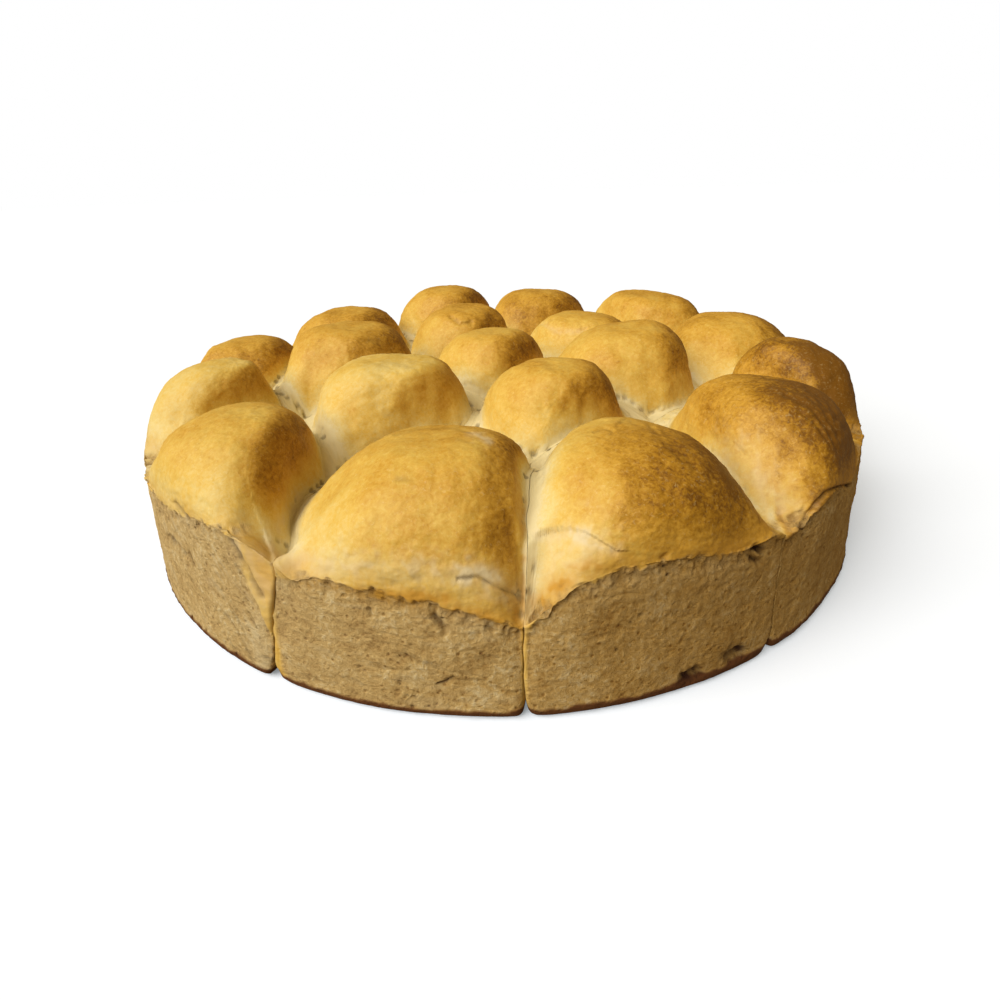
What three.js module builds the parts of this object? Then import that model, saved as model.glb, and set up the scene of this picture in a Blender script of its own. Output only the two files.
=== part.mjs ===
// Pull-apart bread: nineteen rolls proofed and baked against each other in a round tin.
//
// Each ball of dough spreads until it meets its neighbours and the tin, so a roll is a cell of the
// round: flat sides where rolls press together, an upright wall where the tin held the dough, a
// flat base, and a dome that rises to a crown.
//
// Millimetres, +Z up. The origin is on the axis of the round, at the base.

import * as THREE from 'three';
import { mergeVertices } from 'three/addons/utils/BufferGeometryUtils.js';

// Driving dimensions ---------------------------------------------------------------------------

const TIN_RADIUS = 141;

// The wall shrank away from the tin as it rose, so the rim stands this far in from the base.
const RIM_SET_IN = 4;

// A roll keeps this far back from each side of its cell, so that neighbours stay separate.
const SIDE_CLEARANCE = 0.15;

// How sharply two sides of a roll meet: a larger number gives a tighter corner.
const CORNER_SHARPNESS = 26;

// Near its crown a roll is round, whatever the outline of its cell. ROUND_SHARPNESS gives the
// corners of that rounder outline, ROUND_SIZE its size beside the cell, and ROUND_FADE how late
// on the way from the crown to the edge it gives way to the cell's own outline.
const ROUND_SHARPNESS = 3;
const ROUND_SIZE = 0.88;
const ROUND_FADE = 3;

// The edge where the base turns up into the sides.
const BASE_ROUNDING = 2.8;

// Between two crowns the dough sinks into a valley. It is deeper where the crowns are further away
// and levels off at VALLEY_DEPTH, most of which is reached at VALLEY_REACH from the crowns.
const VALLEY_DEPTH = 34;
const VALLEY_REACH = 31;

// The rim is the height where the dome leaves the tin's wall. It dips where two rolls meet.
const RIM_DIP_WIDTH = 11;

// A dome's section is part of a quarter ellipse, made fuller by DOME_FULLNESS, which is 2 for a
// true ellipse. A roll may have a `fullness` of its own. The steepness says how much of the
// quarter shows: 1 would end upright.
const DOME_FULLNESS = 2.9;
const STEEPNESS_AT_VALLEY = 0.96;
const STEEPNESS_AT_TIN = 0.97;

// Facets of each roll: round its axis, from the crown to the edge of the dome, and the height of
// the base rounding's middle row as a share of the rounding.
const SECTORS = 28;
const DOME_ROWS = 7;
const ROUNDING_MIDDLE = 0.3;

// How many directions are tried to find the corners of a roll.
const SEARCH_STEPS = 720;

// Where each ball of dough was set (ball) and where it rose highest (crown), as a distance from the
// axis and a bearing in degrees counter-clockwise from +X. `height` is the crown above the base.
// Rolls of the outer ring have a `rim`, and a `dip` of the rim at the seam with the next roll of
// the list. Each name ends in the hour of a clock face laid over the loaf, with 6 at -Y.
const OUTER_RING = [
  { name: 'roll_outer_06', ball: [84, 254], crown: [106, 265], height: 62, rim: 39, dip: 11, fullness: 2.5 },
  { name: 'roll_outer_05', ball: [91, 293], crown: [110, 286], height: 62, rim: 41, dip: 2, fullness: 2.5 },
  { name: 'roll_outer_04', ball: [109, 321], crown: [107, 317], height: 64, rim: 44, dip: 3, fullness: 2.5 },
  { name: 'roll_outer_03', ball: [133, 346], crown: [107, 344], height: 66, rim: 42, dip: 5, fullness: 2.6 },
  { name: 'roll_outer_02', ball: [112, 11], crown: [111, 14], height: 64, rim: 41, dip: 4 },
  { name: 'roll_outer_01', ball: [124, 44], crown: [112, 45.5], height: 65, rim: 43, dip: 3, fullness: 3.8 },
  { name: 'roll_outer_12', ball: [104, 82], crown: [111, 77], height: 64, rim: 40, dip: 5 },
  { name: 'roll_outer_11', ball: [113, 102], crown: [112, 104], height: 67, rim: 43, dip: 3 },
  { name: 'roll_outer_10', ball: [110, 137], crown: [111, 136], height: 62, rim: 39, dip: 4 },
  { name: 'roll_outer_09', ball: [124, 166], crown: [116, 170], height: 60, rim: 40, dip: 4 },
  { name: 'roll_outer_08', ball: [133, 195], crown: [103, 195], height: 63, rim: 42, dip: 5 },
  { name: 'roll_outer_07', ball: [115, 219], crown: [112, 226], height: 62, rim: 45, dip: 14, fullness: 2.6 },
];
const INNER_RING = [
  { name: 'roll_inner_07', ball: [56, 226], crown: [58, 227], height: 66, fullness: 3.4 },
  { name: 'roll_inner_05', ball: [53, 289], crown: [57, 289], height: 66 },
  { name: 'roll_inner_03', ball: [40, 351], crown: [56, 352], height: 68 },
  { name: 'roll_inner_01', ball: [61, 52], crown: [58, 47], height: 62 },
  { name: 'roll_inner_11', ball: [55, 108], crown: [58, 104], height: 66 },
  { name: 'roll_inner_09', ball: [66, 166], crown: [64, 171], height: 68 },
];
const CENTRE = [{ name: 'roll_centre', ball: [13, 86], crown: [2, 180], height: 65 }];

// Materials ------------------------------------------------------------------------------------

const crust = new THREE.MeshStandardMaterial({ color: 0xc98f45, roughness: 0.6, metalness: 0 });

// The layout of the round ----------------------------------------------------------------------

const TURN = 2 * Math.PI;

function directionAt(angle) {
  return new THREE.Vector2(Math.cos(angle), Math.sin(angle));
}

function onPlan([distance, bearing]) {
  return directionAt(THREE.MathUtils.degToRad(bearing)).multiplyScalar(distance);
}

const rolls = [...OUTER_RING, ...INNER_RING, ...CENTRE].map((roll) => ({
  ...roll,
  ball: onPlan(roll.ball),
  crown: onPlan(roll.crown),
}));

// The straight sides of a roll's cell: each lies midway between its ball and a neighbour's.
function sidesOf(roll) {
  return rolls.filter((other) => other !== roll).map((other) => {
    const outward = other.ball.clone().sub(roll.ball);
    const halfway = outward.length() / 2;
    outward.normalize();
    return { other, outward, offset: outward.dot(roll.ball) + halfway - SIDE_CLEARANCE };
  });
}

// A soft minimum of the reaches.
function powerMean(reaches, sharpness) {
  return reaches.reduce((sum, reach) => sum + reach ** -sharpness, 0) ** (-1 / sharpness);
}

// How far a circle about the axis is from a point inside it, in a direction.
function reachToCircle(from, direction, radius) {
  const along = from.dot(direction);
  return Math.sqrt(along * along + radius ** 2 - from.lengthSq()) - along;
}

// How far the roll reaches from its crown in a direction, inside a circle, and which neighbour it
// meets there, if any. The power mean of the separate reaches rounds the corners between sides:
// reach has the roll's own corners, and roundReach those of its rounder outline near the crown.
function reachOf(roll, sides, direction, radius) {
  let nearest = { reach: reachToCircle(roll.crown, direction, radius), other: null };
  const reaches = [nearest.reach];
  for (const side of sides) {
    const slope = side.outward.dot(direction);
    if (slope <= 0) continue;
    const reach = (side.offset - side.outward.dot(roll.crown)) / slope;
    reaches.push(reach);
    if (reach < nearest.reach) nearest = { reach, other: side.other };
  }
  return {
    reach: powerMean(reaches, CORNER_SHARPNESS),
    roundReach: powerMean(reaches, ROUND_SHARPNESS) / ROUND_SIZE,
    other: nearest.other,
  };
}

// Heights --------------------------------------------------------------------------------------

// The valley between two rolls is worked out alike from both, so their skins meet.
function valleyHeight(roll, other, point) {
  const away = (point.distanceTo(roll.crown) + point.distanceTo(other.crown)) / 2;
  const sink = 1 - Math.exp(-((away / VALLEY_REACH) ** 2));
  return (roll.height + other.height) / 2 - VALLEY_DEPTH * sink;
}

// The roll next to this one in the outer ring: step 1 is counter-clockwise, -1 clockwise.
function ringNeighbour(roll, step) {
  const place = rolls.indexOf(roll);
  const count = OUTER_RING.length;
  return rolls[(place + step + count) % count];
}

// The rim leaves its own height for the one shared with a neighbour as it comes near their seam.
function rimHeight(roll, sides, point) {
  let height = roll.rim;
  for (const step of [-1, 1]) {
    const neighbour = ringNeighbour(roll, step);
    const side = sides.find((candidate) => candidate.other === neighbour);
    const toSeam = Math.max(side.offset - side.outward.dot(point), 0);
    const dip = step === 1 ? roll.dip : neighbour.dip;
    const shared = (roll.rim + neighbour.rim) / 2 - dip;
    height += (shared - roll.rim) * Math.exp(-((toSeam / RIM_DIP_WIDTH) ** 1.5));
  }
  return height;
}

function edgeHeight(roll, sides, point, other) {
  return other ? valleyHeight(roll, other, point) : rimHeight(roll, sides, point);
}

// How far a dome has come down at a share of its reach: 0 at the crown, 1 at its edge.
function domeFall(share, steepness, fullness = DOME_FULLNESS) {
  const ellipse = (part) => 1 - Math.sqrt(1 - part ** fullness);
  return ellipse(steepness * share) / ellipse(steepness);
}

// One roll -------------------------------------------------------------------------------------

// Rows run down the section from the crown, over the dome's edge and the side, to the middle of
// the base. Each row has an inset from the roll's full reach and a height.
const ROWS = DOME_ROWS + 4;

function sectionPoint(row, section) {
  if (row <= DOME_ROWS) {
    const share = Math.sin((row / DOME_ROWS) * (Math.PI / 2));
    const ownShape = share ** ROUND_FADE;
    const roundShare = (share * section.rimReach) / section.roundReach;
    const blended = ownShape * share + (1 - ownShape) * roundShare;
    const fall = domeFall(blended, section.steepness, section.fullness);
    return {
      out: share * section.rimReach,
      up: section.crownHeight - (section.crownHeight - section.edge) * fall,
    };
  }
  const roundingRows = [
    { out: section.baseReach, up: BASE_ROUNDING },
    {
      out: section.baseReach - ROUNDING_MIDDLE * BASE_ROUNDING,
      up: ROUNDING_MIDDLE * BASE_ROUNDING,
    },
    { out: section.baseReach - BASE_ROUNDING, up: 0 },
    { out: 0, up: 0 },
  ];
  return roundingRows[row - DOME_ROWS - 1];
}

// The roll's section in a direction from its crown.
function sectionOf(roll, sides, direction) {
  const base = reachOf(roll, sides, direction, TIN_RADIUS);
  const rim = reachOf(roll, sides, direction, TIN_RADIUS - RIM_SET_IN);
  const edgePoint = roll.crown.clone().addScaledVector(direction, rim.reach);
  return {
    baseReach: base.reach,
    rimReach: rim.reach,
    roundReach: rim.roundReach,
    edge: edgeHeight(roll, sides, edgePoint, rim.other),
    crownHeight: roll.height,
    fullness: roll.fullness,
    steepness: rim.other ? STEEPNESS_AT_VALLEY : STEEPNESS_AT_TIN,
  };
}

// The angles of the sectors, evenly spread and then turned so that one lies on each corner.
function sectorAngles(roll, sides) {
  const steps = Array.from({ length: SEARCH_STEPS }, (_, step) => (step / SEARCH_STEPS) * TURN);
  const met = steps.map((angle) => (
    reachOf(roll, sides, directionAt(angle), TIN_RADIUS - RIM_SET_IN).other
  ));
  const angles = Array.from({ length: SECTORS }, (_, sector) => (sector / SECTORS) * TURN);
  steps.forEach((angle, step) => {
    if (met[step] !== met.at(step - 1)) {
      angles[Math.round((angle / TURN) * SECTORS) % SECTORS] = angle;
    }
  });
  return angles;
}

// A ball's mesh, each row and sector of which is moved to its place on the roll.
function rollGeometry(roll) {
  const ball = new THREE.SphereGeometry(1, SECTORS, ROWS);
  ball.rotateX(Math.PI / 2);
  ball.deleteAttribute('normal');
  ball.deleteAttribute('uv');
  const geometry = mergeVertices(ball);
  const position = geometry.getAttribute('position');
  const sides = sidesOf(roll);
  const directions = sectorAngles(roll, sides).map(directionAt);
  const sections = directions.map((direction) => sectionOf(roll, sides, direction));
  const onBall = new THREE.Vector3();
  for (let i = 0; i < position.count; i += 1) {
    onBall.fromBufferAttribute(position, i);
    const row = Math.round((Math.acos(THREE.MathUtils.clamp(onBall.z, -1, 1)) / Math.PI) * ROWS);
    const turned = Math.atan2(onBall.y, onBall.x) / TURN;
    const sector = Math.round((turned + 1) * SECTORS) % SECTORS;
    const { out, up } = sectionPoint(row, sections[sector]);
    position.setXYZ(i, directions[sector].x * out, directions[sector].y * out, up);
  }
  geometry.computeVertexNormals();
  return geometry;
}

// The loaf -------------------------------------------------------------------------------------

const bread = new THREE.Group();
for (const roll of rolls) {
  const mesh = new THREE.Mesh(rollGeometry(roll), crust.clone());
  mesh.name = roll.name;
  mesh.position.set(roll.crown.x, roll.crown.y, 0);
  bread.add(mesh);
}

export default bread;
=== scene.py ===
"""Pull-apart bread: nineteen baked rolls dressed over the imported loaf.

Every roll of the frame is replaced by a finely modelled one of the same form: a satin baked skin over
the dome, a torn crumb wall where the tin held the dough, and a dark crust along the base. Sizes are in
millimetres in the frame's axes until a mesh is written, which is in metres. Bearings are in degrees,
counter-clockwise from the loaf's right, so the front is at 270.
"""

import logging
import math
from dataclasses import dataclass, field
from enum import Enum
from typing import Any

import bmesh
import bpy
import numpy as np
from mathutils import Matrix, Vector


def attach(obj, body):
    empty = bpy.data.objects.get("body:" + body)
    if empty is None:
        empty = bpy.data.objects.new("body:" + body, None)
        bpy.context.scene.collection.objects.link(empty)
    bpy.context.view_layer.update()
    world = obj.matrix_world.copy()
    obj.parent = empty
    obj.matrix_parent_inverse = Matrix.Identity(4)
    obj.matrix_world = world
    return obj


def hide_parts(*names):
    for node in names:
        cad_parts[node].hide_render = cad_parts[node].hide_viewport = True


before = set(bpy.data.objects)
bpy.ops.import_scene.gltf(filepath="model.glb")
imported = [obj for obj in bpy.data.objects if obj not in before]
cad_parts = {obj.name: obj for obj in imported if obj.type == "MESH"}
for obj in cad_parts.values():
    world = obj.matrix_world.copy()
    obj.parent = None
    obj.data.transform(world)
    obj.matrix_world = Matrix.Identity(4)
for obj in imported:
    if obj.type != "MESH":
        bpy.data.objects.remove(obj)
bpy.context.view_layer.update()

LOG = logging.getLogger("pull_apart_bread")

Array = np.ndarray

MM = 0.001

# --- The tin and the shape that every roll shares ---

TIN_RADIUS = 141.0
RIM_SET_IN = 4.0  # how much further in the rim stands than the base
RIM_HEIGHT = 34.0  # where seams and leans become as strong as they are at the rim
SIDE_INSET = 0.05  # half the gap between neighbours
BASE_ROUNDING = 2.6
VALLEY_DEPTH = 34.0  # how deep a valley is far from every crown
VALLEY_REACH = 31.0  # how far from a crown it is about two thirds as deep
WEB_WIDTH = 0.8  # the flat web between two domes
HIGHEST = 69.6

# How full a dome is, and how tight the corners of outlines are: a larger number is fuller or tighter.
DOME_FULLNESS = 3.4
DIMPLE_SHARPNESS = 5.6
SHOULDER_SHARPNESS = 11.0
FOOT_SHARPNESS = 20.0
CELL_SHARPNESS = 80.0
RIM_SHARPNESS = 300.0

# How much of a quarter of an ellipse a dome follows before it meets a neighbour, or the tin.
VALLEY_STEEPNESS = 0.94
TIN_STEEPNESS = 0.97

# Distances from the axis between which the wall, its crumb and its bends take over from the dome.
WALL = (128.0, 134.0)
CRUMB_WALL = (128.0, 133.0)
STIFF_WALL = (115.0, 134.0)

# Bearings over which the shaded right of the loaf starts and ends, on its skin and on its wall, and over which
# the lit left of the wall ends. Shade on the right, away from the light, is painted as browner skin and darker
# crumb, and light on the left of the wall as paler crumb; the skin's bearings also set where the base crust
# runs higher.
SHADED_RIGHT_SKIN = ((270.0, 292.0), (335.0, 350.0))
SHADED_RIGHT_WALL = ((262.0, 292.0), (340.0, 360.0))
LIT_WALL_END = (235.0, 285.0)


class Ring(Enum):
    """Where a roll sits in the round, and how finely it is modelled (edges along a side of its cube)."""

    FRONT = 126
    OUTER = 88
    INNER = 64


class Band(Enum):
    """Polar angles, in degrees, where a ball's vertices turn from one part of a roll to the next."""

    DOME_TO_TIN = 86.0
    DOME_TO_NEIGHBOUR = 124.0
    SIDE = 155.0
    ROUNDING = 163.0


@dataclass(frozen=True)
class Seam:
    """How a roll of the outer ring and the next one part on the wall.

    own and after are how far the smooth skin runs from the seam at the rim, on the roll itself and on
    the next. It narrows to tail at the height tail_from. depth is how far the groove sinks in and
    width how wide it is. All are in mm.
    """

    own: float = 2.0
    after: float = 2.0
    tail: float = 0.8
    tail_from: float = 18.0
    depth: float = 0.6
    width: float = 1.5


@dataclass(frozen=True)
class RollSpec:
    """One roll: its ball of dough and its crown as (distance from the axis, bearing), and its heights.

    rim is the height of the wall, dip how far the rim falls at the seam with the next roll of the ring,
    browning a shift of the bake that is partly real bake and partly painted light and shade, paler on the rolls
    at the left and browner on those at the right, fullness the roundness of the dome, streak the slope in
    degrees of the tears in the crumb, tearing how strong they are, and shoulder how tight the corner of the
    dome is where the wall meets a neighbour. lean is the bearing of a flank that stands steeper than the
    others, and how much fuller the dome is there.
    """

    name: str
    ball: tuple[float, float]
    crown: tuple[float, float]
    height: float
    ring: Ring = Ring.INNER
    rim: float = 0.0
    dip: float = 0.0
    browning: float = 0.0
    fullness: float = DOME_FULLNESS
    seam: Seam = Seam()
    streak: float = -4.0
    tearing: float = 0.25
    shoulder: float = SHOULDER_SHARPNESS
    lean: tuple[float, float] = (0.0, 0.0)


# The browning of the rolls is partly painted light and shade: paler on the rolls at the left, browner on those
# at the right.
OUTER_RING = (
    RollSpec("roll_outer_06", (84, 254), (106, 265), 62, Ring.FRONT, 39, 11, fullness=2.5,
             seam=Seam(0.8, 0.8, 0.4, 20, 0.5, 2.0), tearing=0.45, shoulder=30),
    RollSpec("roll_outer_05", (91, 293), (110, 286), 62, Ring.FRONT, 41, 2, browning=-0.06, fullness=2.5,
             seam=Seam(0.0, 0.0, 0.0, 20, 0.15, 1.6), shoulder=60),
    RollSpec("roll_outer_04", (109, 321), (107, 317), 64, Ring.FRONT, 44, 3, browning=0.2, fullness=2.5),
    RollSpec("roll_outer_03", (133, 346), (107, 344), 66, Ring.OUTER, 42, 5, browning=0.42, fullness=2.7),
    RollSpec("roll_outer_02", (112, 11), (106, 15), 64, Ring.OUTER, 41, 4, browning=0.1, fullness=2.9),
    RollSpec("roll_outer_01", (124, 44), (112, 45.5), 65, Ring.OUTER, 43, 3, browning=0.08, fullness=4.4),
    RollSpec("roll_outer_12", (104, 82), (111, 77), 64, Ring.OUTER, 40, 5, browning=0.14),
    RollSpec("roll_outer_11", (113, 102), (112, 104), 67, Ring.OUTER, 43, 3, browning=0.12),
    RollSpec("roll_outer_10", (110, 137), (111, 136), 62, Ring.OUTER, 39, 4, browning=0.1),
    RollSpec("roll_outer_09", (124, 166), (116, 170), 60, Ring.OUTER, 40, 4, browning=0.08),
    RollSpec("roll_outer_08", (133, 195), (103, 195), 63, Ring.OUTER, 42, 5, browning=-0.22, fullness=2.9,
             shoulder=7, lean=(-10, 1.0)),
    RollSpec("roll_outer_07", (115, 219), (111, 227), 62, Ring.FRONT, 44, 14, browning=-0.06, fullness=2.7,
             seam=Seam(7.5, 3, 0.6, 15, 0.35, 2.0), streak=-50, tearing=0.9, shoulder=6.0, lean=(-20, 0.7)),
)
INNER_ROLLS = (
    RollSpec("roll_inner_07", (56, 226), (58, 228), 66, browning=-0.2, fullness=3.4, lean=(-10, 1.0)),
    RollSpec("roll_inner_05", (53, 289), (57, 289), 66),
    RollSpec("roll_inner_03", (40, 351), (56, 352), 68, browning=0.04),
    RollSpec("roll_inner_01", (61, 52), (58, 47), 62),
    RollSpec("roll_inner_11", (55, 108), (58, 104), 66, browning=0.05),
    RollSpec("roll_inner_09", (66, 166), (64, 171), 68, browning=0.04),
    RollSpec("roll_centre", (13, 86), (2, 180), 65),
)

# The torn rim along the front of the wall, as (bearing, height): it climbs and drops from roll to roll.
FRONT_RIM = (
    (214, 38.5), (222.4, 40.0), (229, 42.5), (237, 44.0), (240.7, 42.0), (243.6, 37.5), (245, 34.5),
    (248.5, 37.4), (254, 37.2), (259.4, 35.3), (265, 32.4), (269, 29.7), (271.4, 25.5), (273.9, 32.0),
    (276, 37.7), (279, 40.1), (284, 41.2), (290, 39.6), (296, 37.5), (300.4, 38.6), (303, 36.2),
    (307, 39.2), (310, 41.6), (313, 41.8), (318, 37.6), (325, 35.0),
)


@dataclass(frozen=True)
class Shift:
    """A place where the dough crept sideways as it rose: a plan point, how wide, and how far, in mm.

    move is how far at the height of the rim and above, and foot how far at the base.
    """

    place: tuple[float, float]
    reach: tuple[float, float]
    move: tuple[float, float]
    foot: tuple[float, float]

    def at(self, still: Array) -> Array:
        """How far each point moves across the plan.

        Args:
            still: Points before they move.

        Returns:
            Their moves.
        """
        away = (still[:, :2] - np.array(self.place)) / np.array(self.reach)
        raised = np.clip(still[:, 2:] / RIM_HEIGHT, 0.0, 1.0)
        move = np.array(self.foot) + (np.array(self.move) - np.array(self.foot)) * raised
        return move * np.exp(-(away ** 2).sum(1))[:, None]


SHIFTS = (
    Shift((7, -90), (16, 30), (2.7, 0), (2.7, 0)),
    Shift((-59, -98), (13, 17), (-1.5, 0), (-1.5, 0)),
    Shift((-62, -124), (15, 15), (4.6, -2.3), (-3.6, 1.8)),
)


@dataclass(frozen=True)
class Crease:
    """A crack, fold or streak on a roll, along a line of the photograph's pixels.

    width and depth are in mm. step is how far the skin above the line stands over the skin below it.
    dark, pale and ochre are how much of each colour it takes, 0 to 1; the dark is painted shade in a crack,
    pit, hole or fold.
    """

    line: tuple[tuple[float, float], ...]
    width: float
    depth: float
    dark: float = 0.0
    pale: float = 0.0
    ochre: float = 0.0
    step: float = 0.0


# The dark that creases take is painted shade in their cracks, pits and holes.
CREASES: dict[str, tuple[Crease, ...]] = {
    # The front roll: a tear under its pale band, smears and a pit above the rim, a slit low on the wall.
    "roll_outer_06": (
        Crease(((286, 562), (340, 566), (400, 569), (460, 577), (516, 596)), 3.4, 0.0, pale=0.6),
        Crease(((300, 582), (380, 598), (440, 608), (490, 618), (520, 630)), 1.7, -0.1, ochre=0.6),
        Crease(((458, 579), (478, 577), (490, 583), (505, 591), (524, 599)), 0.35, 0.6, dark=0.5),
        Crease(((462, 572), (482, 571), (496, 577)), 1.9, -0.2, pale=0.7),
        Crease(((523, 500), (523, 612)), 0.8, 0.0, ochre=0.7),
        Crease(((388, 583), (404, 581), (420, 577)), 1.2, 0.25, dark=0.3),
        Crease(((380, 594), (420, 596), (450, 598)), 1.4, 0.0, ochre=0.8),
        Crease(((434, 618), (445, 630)), 0.8, 1.3, dark=0.6),
        Crease(((368, 610), (370, 618)), 0.4, 0.8, dark=0.5),
        Crease(((487, 628), (493, 632)), 0.6, 1.0, dark=0.5),
        Crease(((437, 685), (446, 683), (453, 678)), 0.3, 0.7, dark=0.9),
        # A painted highlight: a fold on the crown painted pale.
        Crease(((470, 433), (480, 435), (488, 441)), 1.1, -0.1, pale=0.65),
        Crease(((398, 479), (411, 480)), 0.9, 0.1, dark=0.25),
        Crease(((395, 436), (425, 427), (452, 426), (470, 430)), 0.5, 0.25, dark=0.2),
    ),
    # The roll to its right: a fold low on the left, creases on the crown, two deep holes at the rim and two
    # gaps along the base, all four painted near black with shade.
    "roll_outer_05": (
        Crease(((536, 535), (548, 530), (570, 528), (588, 533), (604, 543), (618, 551)), 1.1, 0.0,
               pale=0.4, step=0.65),
        Crease(((543, 575), (556, 556), (584, 550)), 6.0, 0.0, pale=0.45),
        Crease(((548, 536), (568, 534), (588, 540), (602, 547), (612, 554)), 1.3, 0.25, pale=0.8),
        Crease(((545, 600), (562, 580), (590, 567), (625, 562)), 2.6, 0.0, ochre=0.7),
        Crease(((664, 559), (667, 556)), 0.5, 0.6, dark=0.5),
        Crease(((759, 548), (766, 553)), 0.75, 2.2, dark=1.2),
        Crease(((755, 560), (761, 562)), 0.7, 2.0, dark=1.2),
        Crease(((594, 432), (604, 428), (613, 431)), 0.4, 0.4, dark=0.2),
        Crease(((617, 425), (626, 420), (631, 421)), 0.4, 0.4, dark=0.2),
        Crease(((650, 424), (664, 440), (684, 462)), 0.9, 0.3, dark=0.12),
        Crease(((663, 428), (678, 446), (694, 468)), 0.9, 0.3, dark=0.1),
        Crease(((688, 680), (693, 676), (699, 673)), 1.3, 2.2, dark=1.2),
        Crease(((730, 658), (735, 655), (742, 652)), 1.2, 2.0, dark=1.2),
    ),
    # The right-hand roll: a pale patch low on its left, wrinkles over its far flank, a crack along the rim.
    "roll_outer_04": (
        Crease(((735, 455), (760, 485), (785, 515)), 6.0, 0.0, pale=0.45),
        Crease(((765, 377), (792, 383), (816, 397), (836, 420)), 0.8, 0.5, dark=0.22),
        Crease(((776, 385), (800, 393), (822, 410), (838, 436)), 0.7, 0.45, dark=0.2),
        Crease(((785, 396), (808, 407), (826, 427), (838, 452)), 0.8, 0.5, dark=0.25),
        Crease(((806, 385), (828, 403), (845, 430)), 0.7, 0.4, dark=0.2),
        Crease(((798, 412), (815, 424), (830, 446)), 0.6, 0.4, dark=0.15),
        Crease(((799, 527), (807, 513), (817, 501), (827, 491), (838, 487), (852, 486)), 0.5, 1.0, dark=0.6),
    ),
    # The left-hand roll: torn streaks down its crumb, and pale skin in the seam on its right, painted paler
    # still as painted light in the shaded seam.
    "roll_outer_07": (
        Crease(((222, 533), (236, 553), (250, 575), (263, 597)), 0.5, 0.8, dark=0.55),
        Crease(((168, 536), (178, 549), (191, 564)), 0.5, 0.7, dark=0.55),
        Crease(((174, 503), (187, 519)), 0.5, 0.7, dark=0.5),
        Crease(((150, 498), (160, 515)), 0.5, 0.6, dark=0.5),
        Crease(((256, 628), (259, 645), (262, 662)), 2.4, -0.2, pale=0.7),
        Crease(((240, 545), (256, 556), (266, 590)), 3.0, 0.0, pale=0.8),
        Crease(((298, 498), (285, 520), (268, 546)), 2.4, 0.0, pale=0.75),
    ),
    # Rolls further back: a burst bubble, a fold and a pinched slit.
    "roll_inner_09": (Crease(((371, 340), (378, 341)), 1.3, 0.4, dark=0.6),),
    "roll_inner_11": (Crease(((450, 316), (460, 324), (471, 322)), 1.0, 0.8, dark=0.35),),
    "roll_inner_01": (
        Crease(((598, 309), (610, 313), (622, 317)), 0.8, 0.8, dark=0.6),
        Crease(((540, 322), (560, 333), (585, 330)), 1.6, 0.7, pale=0.3),
    ),
}


# --- Small mathematics ---


def smoothstep(value: Array, low: float | Array, high: float | Array) -> Array:
    """A smooth rise from 0 at low to 1 at high.

    Args:
        value: Where to read the rise.
        low: Where it starts.
        high: Where it ends.

    Returns:
        The rise, 0 to 1.
    """
    part = np.clip((value - low) / (high - low), 0.0, 1.0)
    return part * part * (3.0 - 2.0 * part)


def between(value: Array, rise: tuple[float, float], fall: tuple[float, float]) -> Array:
    """1 from the end of the rise to the start of the fall, and 0 outside both."""
    return smoothstep(value, *rise) * (1 - smoothstep(value, *fall))


def bell(value: Array, width: float) -> Array:
    """1 where the value is 0, falling smoothly to either side, to about a third at the width."""
    return np.exp(-((value / width) ** 2))


def soft_max(first: Array, second: Array, width: float) -> Array:
    """The larger of two heights, with the corner between them rounded.

    Args:
        first: One height.
        second: The other height.
        width: How far apart they are where the rounding ends.

    Returns:
        The rounded maximum.
    """
    share = np.clip(0.5 + 0.5 * (first - second) / width, 0.0, 1.0)
    return second + (first - second) * share + width * share * (1.0 - share)


def power_mean(reaches: list[Array], sharpness: float | Array) -> Array:
    """A soft minimum of several reaches.

    Args:
        reaches: The reaches, all above zero.
        sharpness: A larger number gives a tighter corner where two are alike.

    Returns:
        The soft minimum.
    """
    scale = np.minimum.reduce(reaches)
    return scale * sum((reach / scale) ** -sharpness for reach in reaches) ** (-1.0 / sharpness)


def spread(values: Array, degrees: float) -> Array:
    """Smooths values that run once round a circle.

    Args:
        values: The values, evenly spaced.
        degrees: How far each is spread to either side.

    Returns:
        The smoothed values.
    """
    wave = np.fft.rfftfreq(len(values), 1.0 / len(values))
    fade = np.exp(-0.5 * (wave * math.radians(degrees)) ** 2)
    return np.fft.irfft(np.fft.rfft(values) * fade, len(values))


def on_plan(polar: tuple[float, float]) -> Array:
    """The plan position of a (distance, bearing in degrees) pair."""
    angle = math.radians(polar[1])
    return np.array([polar[0] * math.cos(angle), polar[0] * math.sin(angle)])


@dataclass(frozen=True)
class Lumps:
    """One sort of lumps: their size in mm, how many finer layers they have and how fast those fade.

    strength is how much they count, and shift where they are read, so that no two sorts are alike.
    """

    size: float
    layers: int = 1
    fade: float = 0.5
    strength: float = 1.0
    shift: float = 0.0


@dataclass(frozen=True)
class Pores:
    """One sort of pores: how far apart in mm, and their radius and soft edge as shares of that."""

    size: float
    radius: float
    edge: float
    shift: float = 0.0


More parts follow.
